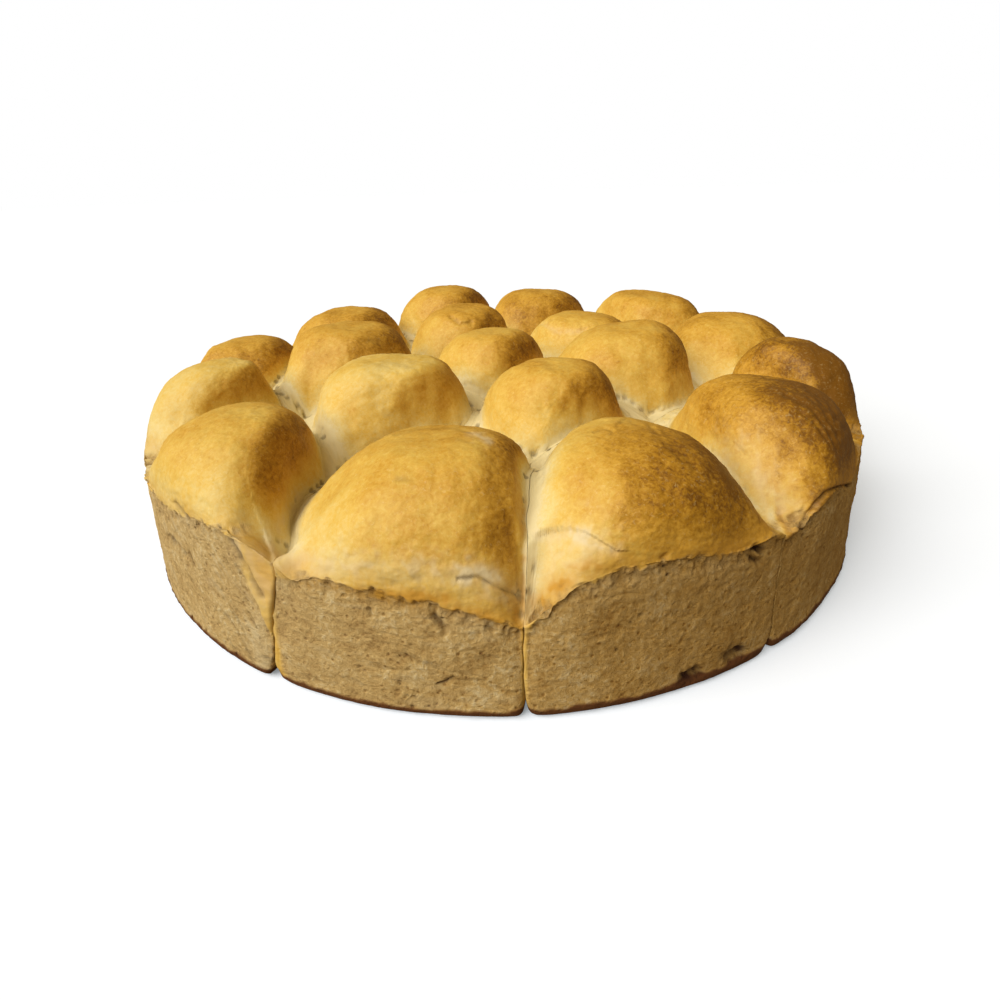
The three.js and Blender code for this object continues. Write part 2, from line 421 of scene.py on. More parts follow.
class DoughNoise:
    """Seeded noise for lumps, wrinkles and pores, the same each run."""

    def __init__(self, seed: int) -> None:
        """Draws the tables.

        Args:
            seed: Which noise to draw.
        """
        draw = np.random.default_rng(seed)
        self.order = draw.permutation(256)
        slopes = draw.normal(size=(256, 3))
        self.slopes = slopes / np.linalg.norm(slopes, axis=1, keepdims=True)
        self.spots = draw.random((256, 3))

    def _pick(self, cell: Array) -> Array:
        """Picks a row of the table for each cell.

        Args:
            cell: The cells, as three whole numbers each.

        Returns:
            The row of each.
        """
        row = self.order[cell[:, 0] & 255]
        row = self.order[(row + cell[:, 1]) & 255]
        return self.order[(row + cell[:, 2]) & 255]

    def smooth(self, points: Array, size: float) -> Array:
        """Rolling noise.

        Args:
            points: Where to read it, in mm.
            size: How far apart its lumps are, in mm.

        Returns:
            Values from about -1 to 1.
        """
        place = points / size
        cell = np.floor(place).astype(np.int64)
        part = place - cell
        ease = part ** 3 * (part * (part * 6.0 - 15.0) + 10.0)
        total = np.zeros(len(points))
        for corner in np.ndindex(2, 2, 2):
            slope = self.slopes[self._pick(cell + corner)]
            weight = np.prod(np.where(corner, ease, 1.0 - ease), axis=1)
            total += weight * np.einsum("ij,ij->i", slope, part - corner)
        return total * 1.6

    def lumps(self, points: Array, *sorts: Lumps) -> Array:
        """Rolling noise with finer noise over it, each layer of half the size of the one before.

        Args:
            points: Where to read it, in mm.
            sorts: The lumps that are added up.

        Returns:
            Values from about -1 to 1 times the strength.
        """
        return sum(sort.strength * sum(
            self.smooth(points + sort.shift + 17.3 * n, sort.size / 2 ** n) * sort.fade ** n
            for n in range(sort.layers)
        ) for sort in sorts)

    def pores(self, points: Array, sort: Pores) -> Array:
        """Round holes, scattered about.

        Args:
            points: Where to read them, in mm.
            sort: The pores.

        Returns:
            1 inside a pore, 0 between them.
        """
        place = (points + sort.shift) / sort.size
        cell = np.floor(place).astype(np.int64)
        nearest = np.full(len(points), 9.0)
        for step in np.ndindex(3, 3, 3):
            other = cell + np.array(step) - 1
            gap = other + self.spots[self._pick(other)] - place
            nearest = np.minimum(nearest, np.einsum("ij,ij->i", gap, gap))
        return smoothstep(sort.radius - np.sqrt(nearest), 0.0, sort.edge)


# --- The photograph's viewpoint ---


@dataclass(frozen=True)
class Viewpoint:
    """Where the picture was taken from: place in metres, turns in degrees, lens and sensor in mm."""

    place: tuple[float, float, float] = (-0.0014, -0.2421, 0.1195)
    tilt: float = 28.88
    roll: float = -1.79
    lens: float = 20.8
    sensor: float = 36.0
    width: int = 1000

    def turn(self) -> Matrix:
        """The camera's turn, as a 4 by 4 matrix."""
        tilt, roll = math.radians(90 - self.tilt), math.radians(self.roll)
        return Matrix.Rotation(tilt, 4, "X") @ Matrix.Rotation(roll, 4, "Z")

    def pixels(self, points: Array) -> tuple[Array, Array]:
        """Where points fall in the picture.

        Args:
            points: Points in mm.

        Returns:
            Their pixels, and how many pixels a millimetre takes there.
        """
        turn = np.array(self.turn().to_3x3())
        local = (points * MM - np.array(self.place)) @ turn
        scale = self.lens / self.sensor * self.width / -local[:, 2]
        half = self.width / 2
        return np.stack([half + local[:, 0] * scale, half - local[:, 1] * scale], axis=1), scale * MM

    def camera(self) -> None:
        """Makes the camera and gives it to the scene."""
        data = bpy.data.cameras.new("viewpoint")
        data.lens, data.sensor_width = self.lens, self.sensor
        data.clip_start, data.clip_end = 0.01, 50.0
        camera = bpy.data.objects.new("viewpoint", data)
        camera.matrix_world = Matrix.Translation(self.place) @ self.turn()
        bpy.context.collection.objects.link(camera)
        bpy.context.scene.camera = camera


# --- The loaf as a whole ---


class Loaf:
    """The layout of the round: which cell each roll fills, and how high its edges stand.

    VALLEY_BLEND, in square mm, is how gently the valleys pass from roll to roll, RIM_BLEND how far in
    from the rim its height fades into theirs, and FAR a reach where nothing is met.
    """

    VALLEY_BLEND = 260.0
    RIM_BLEND = 12.0
    FAR = 1e4

    def __init__(self, specs: tuple[RollSpec, ...], ring_size: int) -> None:
        """Works out the plan.

        Args:
            specs: Every roll, the outer ring first and counter-clockwise.
            ring_size: How many rolls the outer ring has.
        """
        self.specs = specs
        self.ring_size = ring_size
        self.balls = np.array([on_plan(spec.ball) for spec in specs])
        self.crowns = np.array([on_plan(spec.crown) for spec in specs])
        self.heights = np.array([spec.height for spec in specs], float)
        self.rim_bearings, self.rim_heights = self._rim_line()

    def side(self, roll: int, other: int) -> tuple[Array, float]:
        """Finds the plane midway between two balls.

        Args:
            roll: The roll on the near side.
            other: The roll on the far side.

        Returns:
            The plane's direction, outward from roll, and its distance from the axis.
        """
        outward = self.balls[other] - self.balls[roll]
        length = np.linalg.norm(outward)
        outward = outward / length
        return outward, float(outward @ self.balls[roll] + length / 2)

    def next_in_ring(self, roll: int, step: int) -> int:
        """The roll's neighbour in the outer ring, counter-clockwise for a step of 1."""
        return (roll + step) % self.ring_size

    def seam_bearing(self, roll: int) -> float:
        """Finds where the seam with the next roll of the ring meets the wall.

        Args:
            roll: The roll before the seam.

        Returns:
            The bearing in degrees.
        """
        outward, offset = self.side(roll, self.next_in_ring(roll, 1))
        along = np.array([-outward[1], outward[0]])
        reach = math.sqrt(TIN_RADIUS ** 2 - offset ** 2)
        middle = self.balls[roll] + self.balls[self.next_in_ring(roll, 1)]
        point = outward * offset + along * math.copysign(reach, float(along @ middle))
        return math.degrees(math.atan2(point[1], point[0])) % 360

    def _rim_line(self) -> tuple[Array, Array]:
        """Joins the rolls' own rims and the torn front to one line round the loaf.

        Returns:
            The bearings, each half degree, and the height of the rim at each.
        """
        points: list[tuple[float, float]] = []
        for roll in range(self.ring_size):
            spec, after = self.specs[roll], self.specs[self.next_in_ring(roll, 1)]
            points.append((spec.crown[1] % 360, spec.rim))
            points.append((self.seam_bearing(roll), (spec.rim + after.rim) / 2 - spec.dip))
        first, last = FRONT_RIM[0][0], FRONT_RIM[-1][0]
        points = [point for point in points if not first - 3 < point[0] < last + 3] + list(FRONT_RIM)
        known = np.array(sorted(points))
        bearings = np.arange(0, 360, 0.5)
        heights = np.interp(bearings, known[:, 0], known[:, 1], period=360)
        window = np.array([1, 2, 3, 2, 1]) / 9.0
        return bearings, np.convolve(np.r_[heights[-2:], heights, heights[:2]], window, "valid")

    def rim(self, plan: Array) -> Array:
        """The height of the rim at the bearing of each plan point."""
        bearing = np.degrees(np.arctan2(plan[:, 1], plan[:, 0])) % 360
        return np.interp(bearing, self.rim_bearings, self.rim_heights, period=360)

    def edge_height(self, plan: Array) -> Array:
        """How high the skins of neighbours meet, or leave the wall.

        Args:
            plan: Points on the outlines of the rolls.

        Returns:
            The height at each point, alike for every roll that shares it.
        """
        gap = ((plan[:, None] - self.balls) ** 2).sum(-1)
        near = np.exp(-(gap - gap.min(axis=1, keepdims=True)) / self.VALLEY_BLEND)
        near /= near.sum(axis=1, keepdims=True)
        away = (near * np.linalg.norm(plan[:, None] - self.crowns, axis=2)).sum(1)
        valley = near @ self.heights - VALLEY_DEPTH * (1 - bell(away, VALLEY_REACH))
        rim_radius = TIN_RADIUS - RIM_SET_IN
        at_wall = smoothstep(np.linalg.norm(plan, axis=1), rim_radius - self.RIM_BLEND, rim_radius - 0.5)
        return valley + (self.rim(plan) - valley) * at_wall

    def cell_reach(self, roll: int, direction: Array, sharpness: float) -> Array:
        """How far a roll reaches from its crown before it meets its neighbours.

        Args:
            roll: Which roll.
            direction: Unit plan directions.
            sharpness: How tight the corners between two neighbours are.

        Returns:
            The reach in each direction.
        """
        reaches = []
        for other in range(len(self.specs)):
            if other == roll:
                continue
            outward, offset = self.side(roll, other)
            slope = direction @ outward
            gap = offset - SIDE_INSET - float(outward @ self.crowns[roll])
            reaches.append(np.where(slope > 1e-3, gap / np.maximum(slope, 1e-3), self.FAR))
        return power_mean(reaches, sharpness)

    def tin_reach(self, roll: int, direction: Array, radius: float | Array) -> Array:
        """Finds how far a roll's crown is from a circle about the axis.

        Args:
            roll: The roll.
            direction: The plan directions to look in.
            radius: The circle's radius in mm.

        Returns:
            The distance in mm in each direction.
        """
        crown = self.crowns[roll]
        along = direction @ crown
        return np.sqrt(along ** 2 + radius ** 2 - crown @ crown) - along


# --- One roll ---


class Outline:
    """A roll's outline from its crown, tabled by direction: how far it reaches and how high its edge is.

    WALL_SHARPNESS is how sharply an outline passes from a neighbour to the tin. The spreads, in
    degrees, are how far the tin, the dome's reach and the edge are felt to either side. INLAND is how
    far from the axis the webs between domes get narrower.
    """

    STEPS = 1440
    WALL_SHARPNESS = 30
    TIN_SPREAD, DOME_SPREAD, EDGE_SPREAD = 11.0, 30.0, 17.0
    INLAND = (104.0, 126.0)

    def __init__(self, loaf: Loaf, roll: int) -> None:
        """Tables the outline.

        Args:
            loaf: The layout.
            roll: Which roll.
        """
        angle = np.arange(self.STEPS) / self.STEPS * 2 * math.pi
        direction = np.stack([np.cos(angle), np.sin(angle)], axis=1)
        rim_circle = loaf.tin_reach(roll, direction, TIN_RADIUS - RIM_SET_IN)
        cell = loaf.cell_reach(roll, direction, CELL_SHARPNESS)
        at_wall = 1.0 / (1.0 + np.minimum(rim_circle / cell, 9.0) ** self.WALL_SHARPNESS)
        top = power_mean([cell, rim_circle], RIM_SHARPNESS)
        towards_tin = np.clip(spread(at_wall, self.TIN_SPREAD), 0.0, 1.0)
        dimpled = loaf.cell_reach(roll, direction, DIMPLE_SHARPNESS)
        dome = power_mean([dimpled, rim_circle], loaf.specs[roll].shoulder)
        border = loaf.crowns[roll] + direction * top[:, None]
        inland = 1 - smoothstep(np.linalg.norm(border, axis=1), *self.INLAND)
        dome -= WEB_WIDTH * (0.3 + inland) * (1 - towards_tin)
        edge = loaf.edge_height(border)
        self.tables = {
            "rim_circle": rim_circle, "base_circle": loaf.tin_reach(roll, direction, TIN_RADIUS),
            "cell": cell, "at_wall": at_wall, "towards_tin": towards_tin, "top": top,
            "dome": dome, "wide_dome": spread(dome, self.DOME_SPREAD),
            "edge": edge, "wide_edge": spread(edge, self.EDGE_SPREAD),
        }
        self.angle = np.degrees(angle)

    def at(self, turn: Array) -> dict[str, Array]:
        """Reads every table at directions given in radians."""
        degrees = np.degrees(turn) % 360
        return {name: np.interp(degrees, self.angle, table, period=360) for name, table in self.tables.items()}


@dataclass
class Shape:
    """A roll's vertices while it is worked: places in mm and what is known about each.

    edge is the height where the dome ends in the vertex's direction, at_wall 1 towards the tin and 0
    towards a neighbour, to_side the distance from the nearest neighbour's side.
    """

    place: Array
    edge: Array
    at_wall: Array
    to_side: Array
    normal: Array = field(default_factory=lambda: np.zeros((0, 3)))

    @property
    def up(self) -> Array:
        """How high each vertex is."""
        return self.place[:, 2]

    @property
    def radius(self) -> Array:
        """How far each vertex is from the axis."""
        return np.linalg.norm(self.place[:, :2], axis=1)

    @property
    def bearing(self) -> Array:
        """The bearing of each vertex, from 0 to 360."""
        return np.degrees(np.arctan2(self.place[:, 1], self.place[:, 0])) % 360

    @property
    def web(self) -> Array:
        """How far each vertex lies on the flat web between two domes, 0 to 1."""
        over = self.up - self.edge
        return (1 - smoothstep(over, 0.5, 3.5)) * (1 - self.at_wall) * smoothstep(over, -4.0, -1.0)

    @property
    def outward(self) -> Array:
        """The level direction from the axis to each vertex."""
        level = self.place[:, :2] / np.maximum(self.radius, 1)[:, None]
        return np.column_stack([level, np.zeros(len(level))])


@dataclass(frozen=True)
class Wall:
    """How far each vertex is each part of the wall, 0 to 1.

    crumb is torn crumb, frayed and near_rim the parts of it just under the crust, lip the crust just
    over it, fused the skin that joins two rolls at a seam, and base the crust along the base. groove
    is how far the seams sink in, in mm.
    """

    crumb: Array
    frayed: Array
    near_rim: Array
    lip: Array
    fused: Array
    base: Array
    groove: Array


@dataclass(frozen=True)
class Bake:
    """How brown the skin is, 0 for pale cream to 1 for dark brown, and what makes it browner or paler.

    crown is added on the top of a dome, blotches here and there, web between domes and valley at their feet.
    The flank and right-side terms are painted light and shade: flanks that face left, towards the light, are
    painted paler, flanks that face right, away from it, browner, and the right of the loaf, further from the
    light, browner still. What is over the limit counts half.
    """

    start: float = 0.38
    crown: float = 0.24
    blotches: float = 0.1
    right_flank_shade: float = 0.38
    left_flank_light: float = -0.08
    right_side_shade: float = 0.38
    web: float = -0.3
    valley: float = -0.24
    limit: float = 0.8


@dataclass(frozen=True)
class Unevenness:
    """The lumps and pores of each part of a roll, and where the skin is blotched.

    bends are how far everything is pushed sideways. crease_width and crease_gaps are how a crease's
    width changes along it and where it fades out.
    """

    bends: tuple[Lumps, Lumps] = (Lumps(17.0, strength=1.3), Lumps(6.0, strength=0.4))
    blotches: Lumps = Lumps(24.0, 3, 0.6, shift=5)
    skin: tuple[Lumps, Lumps] = (Lumps(27.0, shift=70), Lumps(11.0, strength=0.38, shift=31))
    wrinkles: Lumps = Lumps(4.2, 3, 0.55, 0.2, 55)
    web: Lumps = Lumps(3.0, 2, 0.7, shift=3)
    web_holes: Pores = Pores(4.2, 0.34, 0.16, 90)
    rim: tuple[Lumps, Lumps] = (Lumps(5.5, 3, 0.8, 1.3), Lumps(16.0, strength=0.6))
    frayed_rim: Lumps = Lumps(2.6, 2, 0.8, shift=120)
    base_line: Lumps = Lumps(9.0, 3, 0.7, 0.8)
    seam_width: Lumps = Lumps(9.0, strength=0.35)
    crumb: tuple[Lumps, Lumps] = (Lumps(17.0, strength=0.6, shift=9), Lumps(3.2, 2, 0.8, 0.3, 23))
    crumb_pores: Pores = Pores(3.6, 0.24, 0.2)
    pore_bends: Lumps = Lumps(4.0)
    open_crumb: Lumps = Lumps(9.0, shift=40)
    tears: Lumps = Lumps(2.4, 3, 0.7)
    tear_bends: Lumps = Lumps(12.0, strength=1.5, shift=33)
    crease_width: Lumps = Lumps(3.0, 2, 0.7, 0.45, 11)
    crease_gaps: Lumps = Lumps(3.4, 2, 0.7, shift=77)


@dataclass
class Roll:
    """One baked roll, built from a finely cut cube that is pressed into the roll's cell.

    crowding draws the vertices towards the wall. fillet is how wide the rounding is where the dome
    meets its edge, and fillet_drop how far the dome would end under it. crumb_recess is how far the
    crumb lies under the skin, fold_width how far a fold's step is felt, and base_ledge how far the
    crust of the base stands out.
    """

    loaf: Loaf
    index: int
    noise: DoughNoise
    view: Viewpoint
    bake: Bake = Bake()
    uneven: Unevenness = Unevenness()
    crowding: float = 0.42
    fillet: float = 5.5
    fillet_drop: float = 3.2
    crumb_recess: float = 0.3
    fold_width: float = 3.0
    base_ledge: float = 0.35

    @property
    def spec(self) -> RollSpec:
        """The roll's own sizes."""
        return self.loaf.specs[self.index]

    @property
    def outer(self) -> bool:
        """Whether the roll stands against the tin."""
        return self.index < self.loaf.ring_size

    def build(self, template: bpy.types.Mesh) -> bpy.types.Object:
        """Makes the roll's object.

        Args:
            template: A finely cut cube.

        Returns:
            The object, with its colour attributes painted.
        """
        mesh = template.copy()
        mesh.name = "baked_" + self.spec.name
        count = len(mesh.vertices)
        cube = np.empty(count * 3)
        mesh.vertices.foreach_get("co", cube)
        shape = self._press(cube.reshape(-1, 3))
        self._write(mesh, shape)
        normal = np.empty(count * 3)
        mesh.vertex_normals.foreach_get("vector", normal)
        shape.normal = normal.reshape(-1, 3)
        bake, marks = self._relief(shape)
        self._write(mesh, shape)
        for name, values in (("bake", bake), ("marks", marks)):
            layer = mesh.attributes.new(name, "FLOAT_VECTOR", "POINT")
            layer.data.foreach_set("vector", np.stack(values, axis=1).astype(np.float32).ravel())
        mesh.shade_smooth()
        made = bpy.data.objects.new(mesh.name, mesh)
        bpy.context.collection.objects.link(made)
        return made

    def dress(self, made: bpy.types.Object, material: bpy.types.Material) -> None:
        """Gives the roll its crust, hangs it under the loaf's body and hides the frame's own part.

        Args:
            made: The roll's object.
            material: The crust.
        """
        made.data.materials.append(material)
        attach(made, "root")
        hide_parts(self.spec.name)

    @staticmethod
    def _write(mesh: bpy.types.Mesh, shape: Shape) -> None:
        """Writes the places into the mesh, in metres."""
        mesh.vertices.foreach_set("co", (shape.place * MM).astype(np.float32).ravel())
        mesh.update()

    def _press(self, cube: Array) -> Shape:
        """Turns the cube's vertices into the roll's smooth form.

        Args:
            cube: Vertices of a cube from -1 to 1.

        Returns:
            The roll's shape, without relief.
        """
        spec, loaf, index = self.spec, self.loaf, self.index
        ball = np.tan(cube * math.pi / 4)
        ball /= np.linalg.norm(ball, axis=1, keepdims=True)
        polar = np.degrees(np.arccos(np.clip(ball[:, 2], -1, 1)))
        turn = np.arctan2(ball[:, 1], ball[:, 0])
        if self.outer:
            turn = turn - self.crowding * np.sin(turn)
        turn += math.radians(spec.crown[1])
        direction = np.stack([np.cos(turn), np.sin(turn)], axis=1)
        crown = loaf.crowns[index]

        # The dome, out to the tin or to the valleys.
        known = Outline(loaf, index).at(turn)
        cell, top, edge, at_wall = known["cell"], known["top"], known["edge"], known["at_wall"]
        to_neighbour, side_end, rounding_end = (
            band.value for band in (Band.DOME_TO_NEIGHBOUR, Band.SIDE, Band.ROUNDING)
        )
        dome_end = to_neighbour + (Band.DOME_TO_TIN.value - to_neighbour) * known["towards_tin"]
        share = np.sin(np.clip(polar / dome_end, 0, 1) * math.pi / 2)
        out = share * top
        up = self._dome(out, turn, known)

        # The sides, down to the rounding.
        down = np.clip((polar - dome_end) / (side_end - dome_end), 0, 1)
        on_side = polar > dome_end
        side_up = edge + (BASE_ROUNDING - edge) * down
        circle = known["rim_circle"] + (known["base_circle"] - known["rim_circle"]) * down
        corner = np.exp(5.7 - 2.7 * smoothstep(-side_up, -9.0, -2.0))
        side_out = power_mean([cell, circle], corner)
        side_out = top + (side_out - top) * smoothstep(down, 0.0, 0.12)
        out, up = np.where(on_side, side_out, out), np.where(on_side, side_up, up)

        # The rounding at the foot and the flat base.
        bend = np.clip((polar - side_end) / (rounding_end - side_end), 0, 1) * math.pi / 2
        foot = power_mean([cell, known["base_circle"]], FOOT_SHARPNESS)
        turned_in = BASE_ROUNDING * (0.1 + 0.9 * at_wall)
        turning = polar > side_end
        out = np.where(turning, foot - turned_in * (1 - np.cos(bend)), out)
        up = np.where(turning, BASE_ROUNDING * (1 - np.sin(bend)), up)
        under = np.clip((polar - rounding_end) / (180 - rounding_end), 0, 1)
        out = np.where(polar > rounding_end, (foot - turned_in) * (1 - under), out)

        plan = crown + direction * out[:, None]
        to_side = np.full(len(plan), 99.0)
        for other in range(len(loaf.specs)):
            if other != index:
                outward, offset = loaf.side(index, other)
                to_side = np.minimum(to_side, offset - plan @ outward)
        return Shape(self._bend(np.column_stack([plan, up])), edge, at_wall, to_side)

    def _dome(self, out: Array, turn: Array, known: dict[str, Array]) -> Array:
        """How high the dome stands at a distance from the crown.

        Args:
            out: The distance.
            turn: Its direction, in radians.
            known: The outline in that direction.

        Returns:
            The height, never under the edge.
        """
        spec, edge, tin = self.spec, known["edge"], known["towards_tin"]
        own = np.minimum(out / known["dome"], 1.0)
        part = out / (known["wide_dome"] + (known["dome"] - known["wide_dome"]) * own ** 6)
        steepness = VALLEY_STEEPNESS + (TIN_STEEPNESS - VALLEY_STEEPNESS) * tin
        low = known["wide_edge"] + (edge - known["wide_edge"]) * own ** 4 - self.fillet_drop * (1 - tin)
        leaning = np.maximum(np.cos(turn - math.radians(spec.lean[0])), 0.0) ** 2
        fullness = spec.fullness * (1 + spec.lean[1] * leaning)

        def arc(share: Array) -> Array:
            """The drop at a share of a quarter of a full ellipse."""
            return 1 - np.sqrt(np.maximum(1 - np.minimum(share, 1.0) ** fullness, 0.0))

        fall = arc(steepness * part) / arc(steepness)
        return soft_max(spec.height - (spec.height - low) * fall, edge, self.fillet * (1 - tin) + 0.4)

    def _bend(self, still: Array) -> Array:
        """Moves points across the plan as the uneven dough did, alike for every roll.

        Args:
            still: Points of the even form.

        Returns:
            The points where they end up.
        """
        plan, up = still[:, :2].copy(), still[:, 2]
        for shift in SHIFTS:
            plan += shift.at(still)
        bends = self.uneven.bends
        bend = np.stack([self.noise.lumps(still + start, *bends) for start in (200, 400)], axis=1)
        radius = np.maximum(np.linalg.norm(still[:, :2], axis=1), 1)
        outward = still[:, :2] / radius[:, None]
        radial = np.einsum("ij,ij->i", bend, outward)
        bend -= outward * (radial * smoothstep(radius, *STIFF_WALL) * 0.75)[:, None]
        plan += bend * (0.35 + 0.65 * smoothstep(up, 0.0, 12.0))[:, None]
        return np.column_stack([plan, up])

    def _relief(self, shape: Shape) -> tuple[tuple[Array, Array, Array], tuple[Array, Array, Array]]:
        """Adds lumps, pores and grooves to the shape, and works out where it is pale, brown or torn.

        Args:
            shape: The smooth shape, whose places are changed.

        Returns:
            (browning, crumb, base crust) and (dark, pale, ochre), one value for each vertex.
        """
        normal, up, radius, outward = shape.normal, shape.up, shape.radius, shape.outward
        wall = self._wall(shape)
        web = shape.web * (1 - wall.crumb)
        web_holes = web * self.noise.pores(shape.place, self.uneven.web_holes)
        blotches = self.noise.lumps(shape.place, self.uneven.blotches)
        browning = self._browning(shape, web, blotches)
        # Painted shade: the crumb on the right of the wall, away from the light, is painted darker and more
        # ochre.
        browner = wall.crumb * between(shape.bearing, *SHADED_RIGHT_WALL)
        crumb_height, dark, pale = self._crumb(shape, wall)
        ochre = np.maximum(0.55 * wall.lip * (0.7 + 0.5 * blotches), 0.4 * wall.fused * (1 - wall.base))
        # The dark mark is painted shade: in the crumb's pores and tears, in holes in the webs and over the
        # right of the wall.
        marks = np.stack([dark + 0.17 * browner + 0.5 * web_holes, pale, ochre + 0.4 * browner], axis=1)
        height = self._skin(shape, web, web_holes) * (1 - wall.crumb) + crumb_height * wall.crumb
        height += self._marks(shape, marks)

        # How much of the relief a vertex takes: none under the base or where neighbours press.
        open_air = smoothstep(shape.to_side, 0.1, 3.0)
        above_valley = smoothstep(up - shape.edge, -1.0, 3.0)
        on_wall = smoothstep(np.einsum("ij,ij->i", normal, outward), 0.6, 0.95) * smoothstep(radius, *WALL)
        free = np.maximum.reduce([open_air, above_valley * 0.6, on_wall])
        standing = smoothstep(up, 0.05, 2.0)
        ledge = self.base_ledge * wall.base * smoothstep(up, -0.1, 0.4) * smoothstep(radius, 125.0, 133.0)
        moves = normal * (height * free * standing)[:, None]
        shape.place = shape.place + moves + outward * (ledge - wall.groove * standing)[:, None]
        shape.place[:, 2] = np.clip(shape.place[:, 2], 0.0, HIGHEST)
        return (browning, wall.crumb, wall.base), (marks[:, 0], marks[:, 1], marks[:, 2])

    def _wall(self, shape: Shape) -> Wall:
        """Works out where the wall is torn crumb, skin or base crust, and where it parts at the seams.

        Args:
            shape: The smooth shape.

        Returns:
            What each vertex is.
        """
        place, up, radius, lumps = shape.place, shape.up, shape.radius, self.noise.lumps
        rim = self.loaf.rim(place[:, :2])
        ragged = lumps(place, *self.uneven.rim)
        on_crumb = smoothstep(radius, *CRUMB_WALL)
        crumb = smoothstep(rim + ragged - up, -0.8, 1.1) * on_crumb
        frayed = bell(rim + ragged - up - 1.8, 2.0) * on_crumb
        frayed *= smoothstep(lumps(place, self.uneven.frayed_rim), -0.35, 0.45)
        near_rim = bell(rim - up, 5.0) * crumb
        groove, fused = np.zeros(len(up)), np.zeros(len(up))
        for step in (-1, 1) if self.outer else ():
            skin, sunk, joined = self._seam(shape, step)
            crumb = crumb * (1 - skin)
            groove += sunk
            fused += joined
        at_tin = smoothstep(radius, 124.0, 134.0) * shape.at_wall ** 0.5
        lip = bell(np.maximum(up - rim, 0), 4.5) * smoothstep(radius, *WALL) * (1 - crumb)
        base_line = 3.1 + 0.8 * between(shape.bearing, *SHADED_RIGHT_SKIN) + lumps(place, self.uneven.base_line)
        base = 1 - smoothstep(up, base_line - 0.4, base_line + 0.4)
        return Wall(crumb, frayed, near_rim, lip, fused * at_tin, base, groove * at_tin)

    def _seam(self, shape: Shape, step: int) -> tuple[Array, Array, Array]:
        """Works out how the wall looks beside the seam with one neighbour of the outer ring.

        Args:
            shape: The smooth shape.
            step: 1 for the next roll counter-clockwise, -1 for the one before.

        Returns:
            How far each vertex is smooth skin, how far it sinks in, and how far it is fused skin.
        """
        other = self.loaf.next_in_ring(self.index, step)
        seam = self.spec.seam if step == 1 else self.loaf.specs[other].seam
        reach = seam.own if step == 1 else seam.after
        side_out, offset = self.loaf.side(self.index, other)
        gap = np.maximum(offset - shape.place[:, :2] @ side_out, 0.0)
        raised = np.clip((shape.up - seam.tail_from) / (RIM_HEIGHT - seam.tail_from), 0, 1)
        width = seam.tail + (reach - seam.tail) * raised
        wander = 1 + self.noise.lumps(shape.place, self.uneven.seam_width)
        skin = 1 - smoothstep(gap, width * wander * 0.6, width * wander * 1.2 + 0.5)
        skin *= smoothstep(width, 0.0, 0.3)
        sunk = seam.depth * np.exp(-((gap / seam.width) ** 1.6))
        return skin, sunk, bell(gap, 0.6 * seam.width) * (seam.depth > 0.3)

    def _crumb(self, shape: Shape, wall: Wall) -> tuple[Array, Array, Array]:
        """Works out the pores, lumps and tears of the crumb.

        Args:
            shape: The smooth shape.
            wall: What each vertex is.

        Returns:
            How far each vertex moves along its normal, how dark it is painted as shade in its pores, tears and
            frayed rim, and how pale.
        """
        place, noise, uneven = shape.place, self.noise, self.uneven
        bent = place * np.array([1, 1, 1.5]) + noise.lumps(place, uneven.pore_bends)[:, None]
        open_patch = smoothstep(noise.lumps(place, uneven.open_crumb) + 0.5 * wall.near_rim, 0.05, 0.6)
        holes = noise.pores(bent, uneven.crumb_pores) * open_patch
        rough = noise.lumps(place, *uneven.crumb)
        streaks = self._streaks(place, shape.radius) * self.spec.tearing
        torn = np.clip(streaks, 0.0, 1.0)
        sunk = 0.8 * holes + 0.15 * wall.near_rim + 0.5 * torn + 0.5 * wall.frayed
        # Painted shade: pores, tears and the frayed rim are painted dark.
        dark = np.maximum.reduce([0.7 * holes, 0.4 * torn, 0.2 * wall.frayed])
        pale = 0.4 * np.clip(-streaks, 0.0, 1.0) + 0.3 * wall.near_rim * smoothstep(rough, 0.0, 0.5)
        # Painted light: the crumb on the left of the wall, facing the light, is painted paler.
        pale += 0.22 * (1 - smoothstep(shape.bearing, *LIT_WALL_END))
        return 0.6 * rough - self.crumb_recess - sunk, dark * wall.crumb, pale * wall.crumb

    def _skin(self, shape: Shape, web: Array, web_holes: Array) -> Array:
        """Works out the lumps and shallow wrinkles of the skin, and the rough webs between rolls.

        Args:
            shape: The smooth shape.
            web: How far each vertex is web.
            web_holes: How far it is a hole in a web.

        Returns:
            How far each vertex moves along its normal.
        """
        place, lumps, uneven = shape.place, self.noise.lumps, self.uneven
        height = lumps(place, *uneven.skin) + lumps(place * np.array([1.0, 1.0, 1.6]), uneven.wrinkles)
        return height + 0.35 * web * lumps(place, uneven.web) - 0.8 * web_holes

    def _browning(self, shape: Shape, web: Array, blotches: Array) -> Array:
        """Works out the bake: brown on the crowns, pale in the valleys and low on the flanks.

        Args:
            shape: The smooth shape.
            web: How far each vertex is web.
            blotches: Where the bake is uneven, from -1 to 1.

        Returns:
            How brown each vertex is.
        """
        bake, to_right = self.bake, shape.normal[:, 0]
        over = shape.up - shape.edge
        rise = np.clip(over / np.maximum(self.spec.height - shape.edge, 1), 0, 1)
        browning = bake.start + bake.crown * smoothstep(rise, -0.1, 0.8) + bake.blotches * blotches
        # Painted light and shade: flanks facing left, towards the light, are painted paler, and flanks facing
        # right, away from it, browner.
        browning += self.spec.browning + bake.left_flank_light * smoothstep(-to_right, 0.05, 0.75)
        browning += bake.right_flank_shade * smoothstep(to_right, 0.02, 0.85) * smoothstep(rise, 0.08, 0.75)
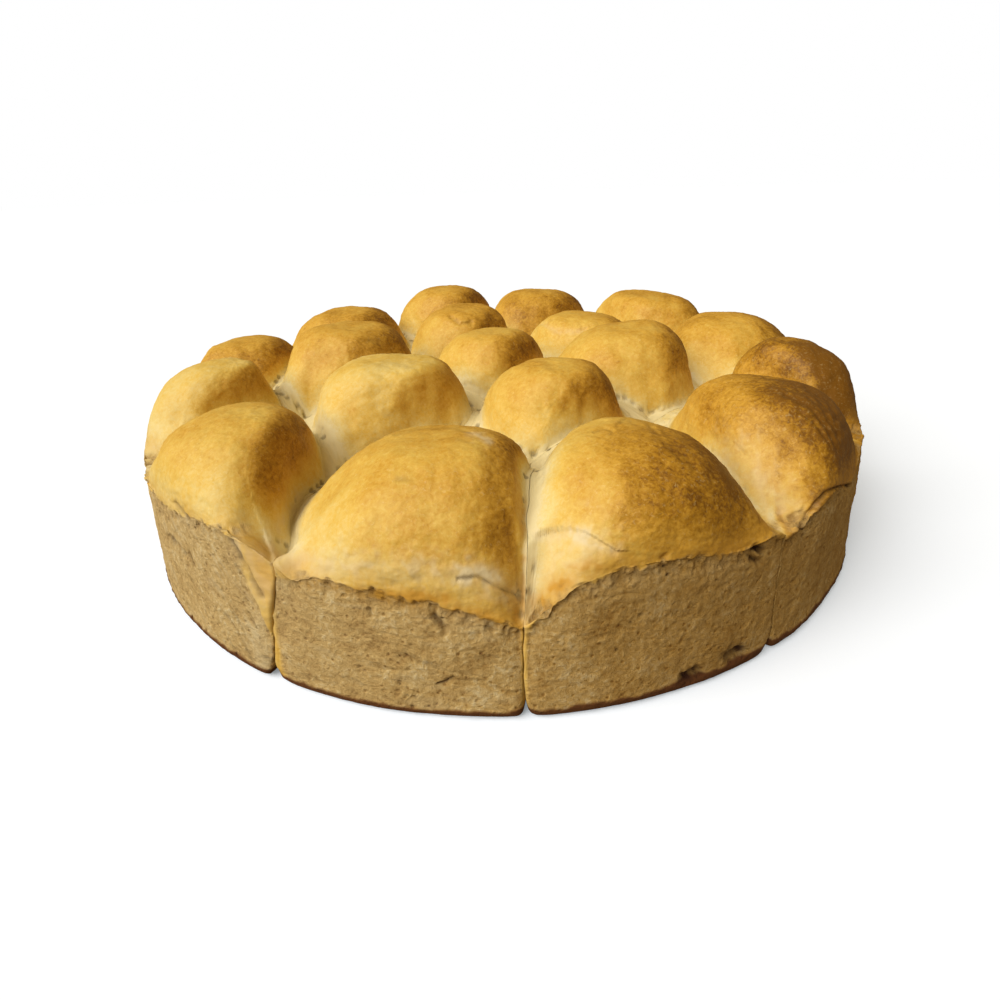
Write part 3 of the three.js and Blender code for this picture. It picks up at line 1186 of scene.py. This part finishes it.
        # Painted shade: the right of the loaf, further from the light, is painted browner.
        right_side_shade = between(shape.bearing, *SHADED_RIGHT_SKIN) * smoothstep(shape.radius, 85.0, 125.0)
        browning += bake.right_side_shade * right_side_shade * smoothstep(to_right, -0.4, 0.1)
        foot = bell(np.maximum(over, 0), 6.0) * (1 - shape.at_wall)
        # Webs and the feet of domes are paler, but only half as pale where they face right, as painted shade.
        browning += bake.web * web + bake.valley * foot * (1 - 0.5 * smoothstep(to_right, 0.1, 0.8))
        return browning - 0.5 * np.maximum(browning - bake.limit, 0.0)

    def _streaks(self, place: Array, radius: Array) -> Array:
        """Where the crumb tore along the way the dough was drawn: above 0 a tear, below 0 a pale shred.

        Args:
            place: The vertices.
            radius: How far each is from the axis.

        Returns:
            Values from -1 to 1, 0 for most.
        """
        slope = math.radians(self.spec.streak)
        along = np.arctan2(place[:, 0], -place[:, 1]) * radius
        length = along * math.cos(slope) + place[:, 2] * math.sin(slope)
        across = place[:, 2] * math.cos(slope) - along * math.sin(slope)
        bent = across + self.noise.lumps(place, self.uneven.tear_bends)
        values = self.noise.lumps(np.stack([length / 5.5, bent, radius * 0.3], axis=1), self.uneven.tears)
        return np.sign(values) * smoothstep(np.abs(values), 0.3, 0.85)

    def _marks(self, shape: Shape, marks: Array) -> Array:
        """Puts the creases and pores that the photograph shows on the side that faced the camera.

        Args:
            shape: The shape, as yet without relief.
            marks: Dark, pale and ochre of each vertex, which are added to.

        Returns:
            How far each vertex moves along its normal, in mm.
        """
        spot, scale = self.view.pixels(shape.place)
        to_camera = np.array(self.view.place) / MM - shape.place
        facing = np.einsum("ij,ij->i", shape.normal, to_camera) / np.linalg.norm(to_camera, axis=1)
        seen = smoothstep(facing, 0.02, 0.15)
        height = np.zeros(len(spot))
        wander = 1 + self.noise.lumps(shape.place, self.uneven.crease_width)
        gaps = self.noise.lumps(shape.place, self.uneven.crease_gaps)
        broken = 0.45 + 0.55 * smoothstep(gaps, -0.25, 0.35)
        for crease in CREASES.get(self.spec.name, ()):
            away, below = self._from_line(spot, crease.line)
            away = away / scale * wander
            near = bell(away, crease.width) * seen
            height -= crease.depth * near
            height += crease.step * bell(away, self.fold_width) * seen * np.where(below, -0.35, 0.65)
            marks += (near * broken)[:, None] * np.array([crease.dark, crease.pale, crease.ochre])
        np.clip(marks, 0.0, 1.0, out=marks)
        return height

    @staticmethod
    def _from_line(spot: Array, line: tuple[tuple[float, float], ...]) -> tuple[Array, Array]:
        """How far pixels are from a line of pixels, and whether they are below it.

        Args:
            spot: The pixels.
            line: The line's corners, from left to right.

        Returns:
            The distances in pixels, and True where a pixel is lower in the picture than the line.
        """
        away, below = np.full(len(spot), 1e9), np.zeros(len(spot), bool)
        for start, end in zip(line, line[1:]):
            first, run = np.array(start, float), np.array(end, float) - np.array(start, float)
            part = np.clip((spot - first) @ run / (run @ run), 0, 1)
            gap = spot - first - part[:, None] * run
            distance = np.linalg.norm(gap, axis=1)
            nearer = distance < away
            away = np.where(nearer, distance, away)
            below = np.where(nearer, gap[:, 1] > 0, below)
        return away, below


# --- Finishes ---


def linear(hex_colour: str) -> tuple[float, float, float, float]:
    """Turns an sRGB hex colour to a linear one with full alpha.

    Args:
        hex_colour: The colour, such as #c09b58.

    Returns:
        Red, green, blue and alpha, from 0 to 1.
    """
    parts = [int(hex_colour[i:i + 2], 16) / 255 for i in (1, 3, 5)]
    red, green, blue = [c / 12.92 if c <= 0.04045 else ((c + 0.055) / 1.055) ** 2.4 for c in parts]
    return red, green, blue, 1.0


def per_metre(size_mm: float) -> float:
    """The scale of a pattern whose features are size_mm apart."""
    return 1.0 / (size_mm * MM)


def add(tree: bpy.types.NodeTree, kind: str, settings: dict[Any, Any], links: dict[Any, Any]) -> bpy.types.Node:
    """Adds a node with its settings and links.

    Args:
        tree: The tree it goes into.
        kind: The node's type.
        settings: Its properties by name, and its input values by socket name or number.
        links: What goes into its inputs: an output socket by the input's name or number.

    Returns:
        The node.
    """
    node = tree.nodes.new(kind)
    for name, value in settings.items():
        if isinstance(name, int) or name in node.inputs:
            node.inputs[name].default_value = value
        else:
            setattr(node, name, value)
    for name, output in links.items():
        tree.links.new(output, node.inputs[name])
    return node


@dataclass(frozen=True)
class Grain:
    """A noise texture: the size of its lumps in mm, how much finer noise it has, and how bent it is."""

    size: float
    detail: float
    roughness: float
    distortion: float = 0.0

    def settings(self) -> dict[str, float]:
        """The texture's inputs."""
        return {"Scale": per_metre(self.size), "Detail": self.detail, "Roughness": self.roughness,
                "Distortion": self.distortion}


@dataclass(frozen=True)
class BakedCrust:
    """Baked wheat-flour crust over torn white crumb, as it comes from a tin.

    The skin goes from pale cream in the valleys to golden tan on the crowns, with a soft sheen. The crumb of
    the wall is matt, open and light brown, and the crust under the base is dark. shade is the colour of painted
    shade in cracks, pores and holes. flaking and pores are where a noise starts and stops to show as pale
    flakes and dark pores, whose dark is painted shade, and how strongly. The bumps are a strength and a height
    in mm.
    """

    skin: tuple[tuple[float, str], ...] = (
        (0.0, "#dccc98"), (0.22, "#d9c177"), (0.46, "#d4af4e"), (0.7, "#c49431"), (0.87, "#a37315"),
        (1.0, "#764c07"),
    )
    crumb: tuple[tuple[float, str], ...] = (
        (0.0, "#6f4a1c"), (0.3, "#a27a3a"), (0.52, "#c09b58"), (0.75, "#d0ae6c"), (1.0, "#e4cd98"),
    )
    base_crust: str = "#6a3f18"
    shade: str = "#3c1f0b"
    ochre: str = "#bd8c32"
    pale: str = "#d6c294"
    flake: str = "#e6cf93"
    mottle: Grain = Grain(10.0, 4.0, 0.6)
    fleck: Grain = Grain(1.3, 5.0, 0.7, 0.6)
    wrinkle: Grain = Grain(1.0, 4.0, 0.7, 1.2)
    sand: Grain = Grain(1.5, 6.0, 0.75)
    pore_mm: float = 2.6
    skin_mottle: float = 0.45
    skin_fleck: float = 0.65
    skin_shift: float = -0.55
    crumb_sand: float = 1.8
    crumb_mottle: float = 1.0
    crumb_shift: float = -0.75
    flaking: tuple[float, float, float] = (0.56, 0.74, 0.32)
    pores: tuple[float, float, float] = (0.24, 0.08, -0.4)
    roughness: float = 0.5
    crumb_roughness: float = 0.9
    fleck_roughness: float = 0.12
    sheen: float = 0.3
    skin_bump: tuple[float, float] = (0.5, 0.25)
    crumb_bump: tuple[float, float] = (0.9, 0.8)

    def material(self) -> bpy.types.Material:
        """Makes the material.

        Returns:
            The material, which reads the attributes bake and marks.
        """
        material = bpy.data.materials.new("baked_wheat_crust")
        material.use_nodes = True
        tree = material.node_tree
        shader = tree.nodes["Principled BSDF"]
        shader.inputs["Specular IOR Level"].default_value = self.sheen
        where = add(tree, "ShaderNodeTexCoord", {}, {}).outputs["Object"]
        layers = [add(tree, "ShaderNodeAttribute", {"attribute_name": name}, {}) for name in ("bake", "marks")]
        (brown, is_crumb, is_base), (dark, pale, ochre) = (
            add(tree, "ShaderNodeSeparateXYZ", {}, {0: layer.outputs["Vector"]}).outputs for layer in layers
        )
        mottle, fleck, wrinkle, sand = (
            add(tree, "ShaderNodeTexNoise", grain.settings(), {"Vector": where}).outputs[0]
            for grain in (self.mottle, self.fleck, self.wrinkle, self.sand)
        )
        pore = add(tree, "ShaderNodeTexVoronoi", {"Scale": per_metre(self.pore_mm), "Randomness": 1.0},
                   {"Vector": where})
        flaking, pores = (
            add(tree, "ShaderNodeMapRange", {"From Min": start, "From Max": stop, "To Max": most},
                {"Value": value})
            for (start, stop, most), value in ((self.flaking, wrinkle), (self.pores, pore.outputs["Distance"]))
        )

        # The skin's tone is the painted bake, with its painted light and shade, broken up by mottling and
        # flecks. The crumb's is fine grain and mottling, with a few small pores darkened as painted shade.
        tones, colours = [], []
        for tone, textures, shift, stops in (
            (brown, ((mottle, self.skin_mottle), (fleck, self.skin_fleck)), self.skin_shift, self.skin),
            (pores.outputs[0], ((sand, self.crumb_sand), (mottle, self.crumb_mottle)), self.crumb_shift,
             self.crumb),
        ):
            for texture, share in textures:
                settings = {"operation": "MULTIPLY_ADD", 1: share}
                tone = add(tree, "ShaderNodeMath", settings, {0: texture, 2: tone}).outputs[0]
            tones.append(add(tree, "ShaderNodeMath", {"operation": "ADD", 1: shift}, {0: tone}).outputs[0])
            ramp = add(tree, "ShaderNodeValToRGB", {}, {0: tones[-1]})
            colours.append(ramp.outputs[0])
            elements = ramp.color_ramp.elements
            while len(elements) < len(stops):
                elements.new(0.5)
            for element, (place, colour) in zip(elements, stops):
                element.position, element.color = place, linear(colour)

        # Flakes over the skin, crumb over both, and then the painted marks: pale, ochre, the base crust, and
        # the dark of painted shade.
        colour = colours[0]
        for share, tint in (
            (flaking.outputs[0], linear(self.flake)), (is_crumb, colours[1]), (pale, linear(self.pale)),
            (ochre, linear(self.ochre)), (is_base, linear(self.base_crust)), (dark, linear(self.shade)),
        ):
            fixed, linked = ({7: tint}, {}) if isinstance(tint, tuple) else ({}, {7: tint})
            settings, links = {"data_type": "RGBA", **fixed}, {0: share, 6: colour, **linked}
            colour = add(tree, "ShaderNodeMix", settings, links).outputs[2]
        tree.links.new(colour, shader.inputs["Base Color"])

        rough = add(tree, "ShaderNodeMapRange", {"To Min": self.roughness, "To Max": self.crumb_roughness},
                    {"Value": is_crumb})
        rough = add(tree, "ShaderNodeMath", {"operation": "MULTIPLY_ADD", 1: self.fleck_roughness},
                    {0: fleck, 2: rough.outputs[0]})
        tree.links.new(rough.outputs[0], shader.inputs["Roughness"])

        # Relief finer than the mesh: wrinkles on the skin, pores and grain on the crumb.
        open_crumb = add(tree, "ShaderNodeMath", {"operation": "MULTIPLY"}, {0: tones[1], 1: is_crumb})
        under: dict[str, Any] = {}
        for (strength, height), value in ((self.skin_bump, wrinkle), (self.crumb_bump, open_crumb.outputs[0])):
            bump = add(tree, "ShaderNodeBump", {"Strength": strength, "Distance": height * MM},
                       {"Height": value, **under})
            under = {"Normal": bump.outputs[0]}
        tree.links.new(bump.outputs[0], shader.inputs["Normal"])
        return material


# --- The studio ---


@dataclass(frozen=True)
class Studio:
    """A plain pale floor, a soft window-like light from the left and a dim warm room.

    The floor glows a little, bluish, so that its shadow is as light and grey as on a white table.
    """

    sun_bearing: float = 215.0
    sun_height: float = 44.0
    sun_strength: float = 3.95
    sun_softness: float = 60.0
    sun_colour: str = "#fffdf9"
    room: float = 0.24
    room_colour: str = "#ffdeaa"
    backdrop: str = "#ffffff"
    floor_radius: float = 8.0
    floor_drop: float = 0.0002
    floor_colour: str = "#e3e7ef"
    floor_roughness: float = 0.9
    glow: float = 0.25
    glow_colour: str = "#e7f7ff"

    def build(self) -> None:
        """Makes the floor, the light and the room."""
        self._floor()
        light = bpy.data.lights.new("window", "SUN")
        light.energy, light.angle = self.sun_strength, math.radians(self.sun_softness)
        light.color = linear(self.sun_colour)[:3]
        lamp = bpy.data.objects.new("window", light)
        turn = Matrix.Rotation(math.radians(self.sun_bearing), 3, "Z")
        towards = turn @ Matrix.Rotation(-math.radians(self.sun_height), 3, "Y") @ Vector((1.0, 0.0, 0.0))
        lamp.matrix_world = towards.to_track_quat("Z", "Y").to_matrix().to_4x4()
        bpy.context.collection.objects.link(lamp)
        world = bpy.data.worlds.new("pale_room")
        world.use_nodes = True
        tree = world.node_tree
        dim = tree.nodes["Background"]
        dim.inputs["Strength"].default_value = self.room
        dim.inputs["Color"].default_value = linear(self.room_colour)
        bright = add(tree, "ShaderNodeBackground", {"Strength": 1.0, "Color": linear(self.backdrop)}, {})
        ray = add(tree, "ShaderNodeLightPath", {}, {})
        seen = add(tree, "ShaderNodeMixShader", {},
                   {0: ray.outputs["Is Camera Ray"], 1: dim.outputs[0], 2: bright.outputs[0]})
        tree.links.new(seen.outputs[0], tree.nodes["World Output"].inputs["Surface"])
        bpy.context.scene.world = world
        bpy.context.scene.view_settings.view_transform = "Standard"

    def _floor(self) -> None:
        """Makes the floor, just under the loaf."""
        shape = bmesh.new()
        bmesh.ops.create_circle(shape, cap_ends=True, radius=self.floor_radius, segments=96)
        mesh = bpy.data.meshes.new("floor")
        shape.to_mesh(mesh)
        shape.free()
        mesh.transform(Matrix.Translation((0, 0, -self.floor_drop)))
        floor = bpy.data.objects.new("floor", mesh)
        bpy.context.collection.objects.link(floor)
        paper = bpy.data.materials.new("matt_paper")
        paper.use_nodes = True
        inputs = paper.node_tree.nodes["Principled BSDF"].inputs
        inputs["Base Color"].default_value = linear(self.floor_colour)
        inputs["Roughness"].default_value = self.floor_roughness
        inputs["Emission Color"].default_value = linear(self.glow_colour)
        inputs["Emission Strength"].default_value = self.glow
        paper.cycles.emission_sampling = "NONE"
        floor.visible_diffuse = floor.visible_glossy = False
        mesh.materials.append(paper)


# --- Making it ---


def cut_cube(edges: int) -> bpy.types.Mesh:
    """Makes a cube with finely cut faces, from -1 to 1.

    Args:
        edges: How many edges run along each side.

    Returns:
        The mesh.
    """
    shape = bmesh.new()
    bmesh.ops.create_cube(shape, size=2.0)
    bmesh.ops.subdivide_edges(shape, edges=shape.edges[:], cuts=edges - 1, use_grid_fill=True)
    mesh = bpy.data.meshes.new(f"cube_{edges}")
    shape.to_mesh(mesh)
    shape.free()
    return mesh


def main() -> None:
    """Builds the rolls and the studio, and reports each piece."""
    logging.basicConfig(level=logging.INFO, format="%(message)s")
    view = Viewpoint()
    view.camera()
    loaf = Loaf(OUTER_RING + INNER_ROLLS, len(OUTER_RING))
    noise = DoughNoise(19)
    crust = BakedCrust().material()
    cubes = {ring: cut_cube(ring.value) for ring in Ring}
    for index, spec in enumerate(loaf.specs):
        roll = Roll(loaf, index, noise, view)
        made = roll.build(cubes[spec.ring])
        roll.dress(made, crust)
        LOG.info("%s: %d faces", made.name, len(made.data.polygons))
    Studio().build()


if __name__ == "__main__":
    main()
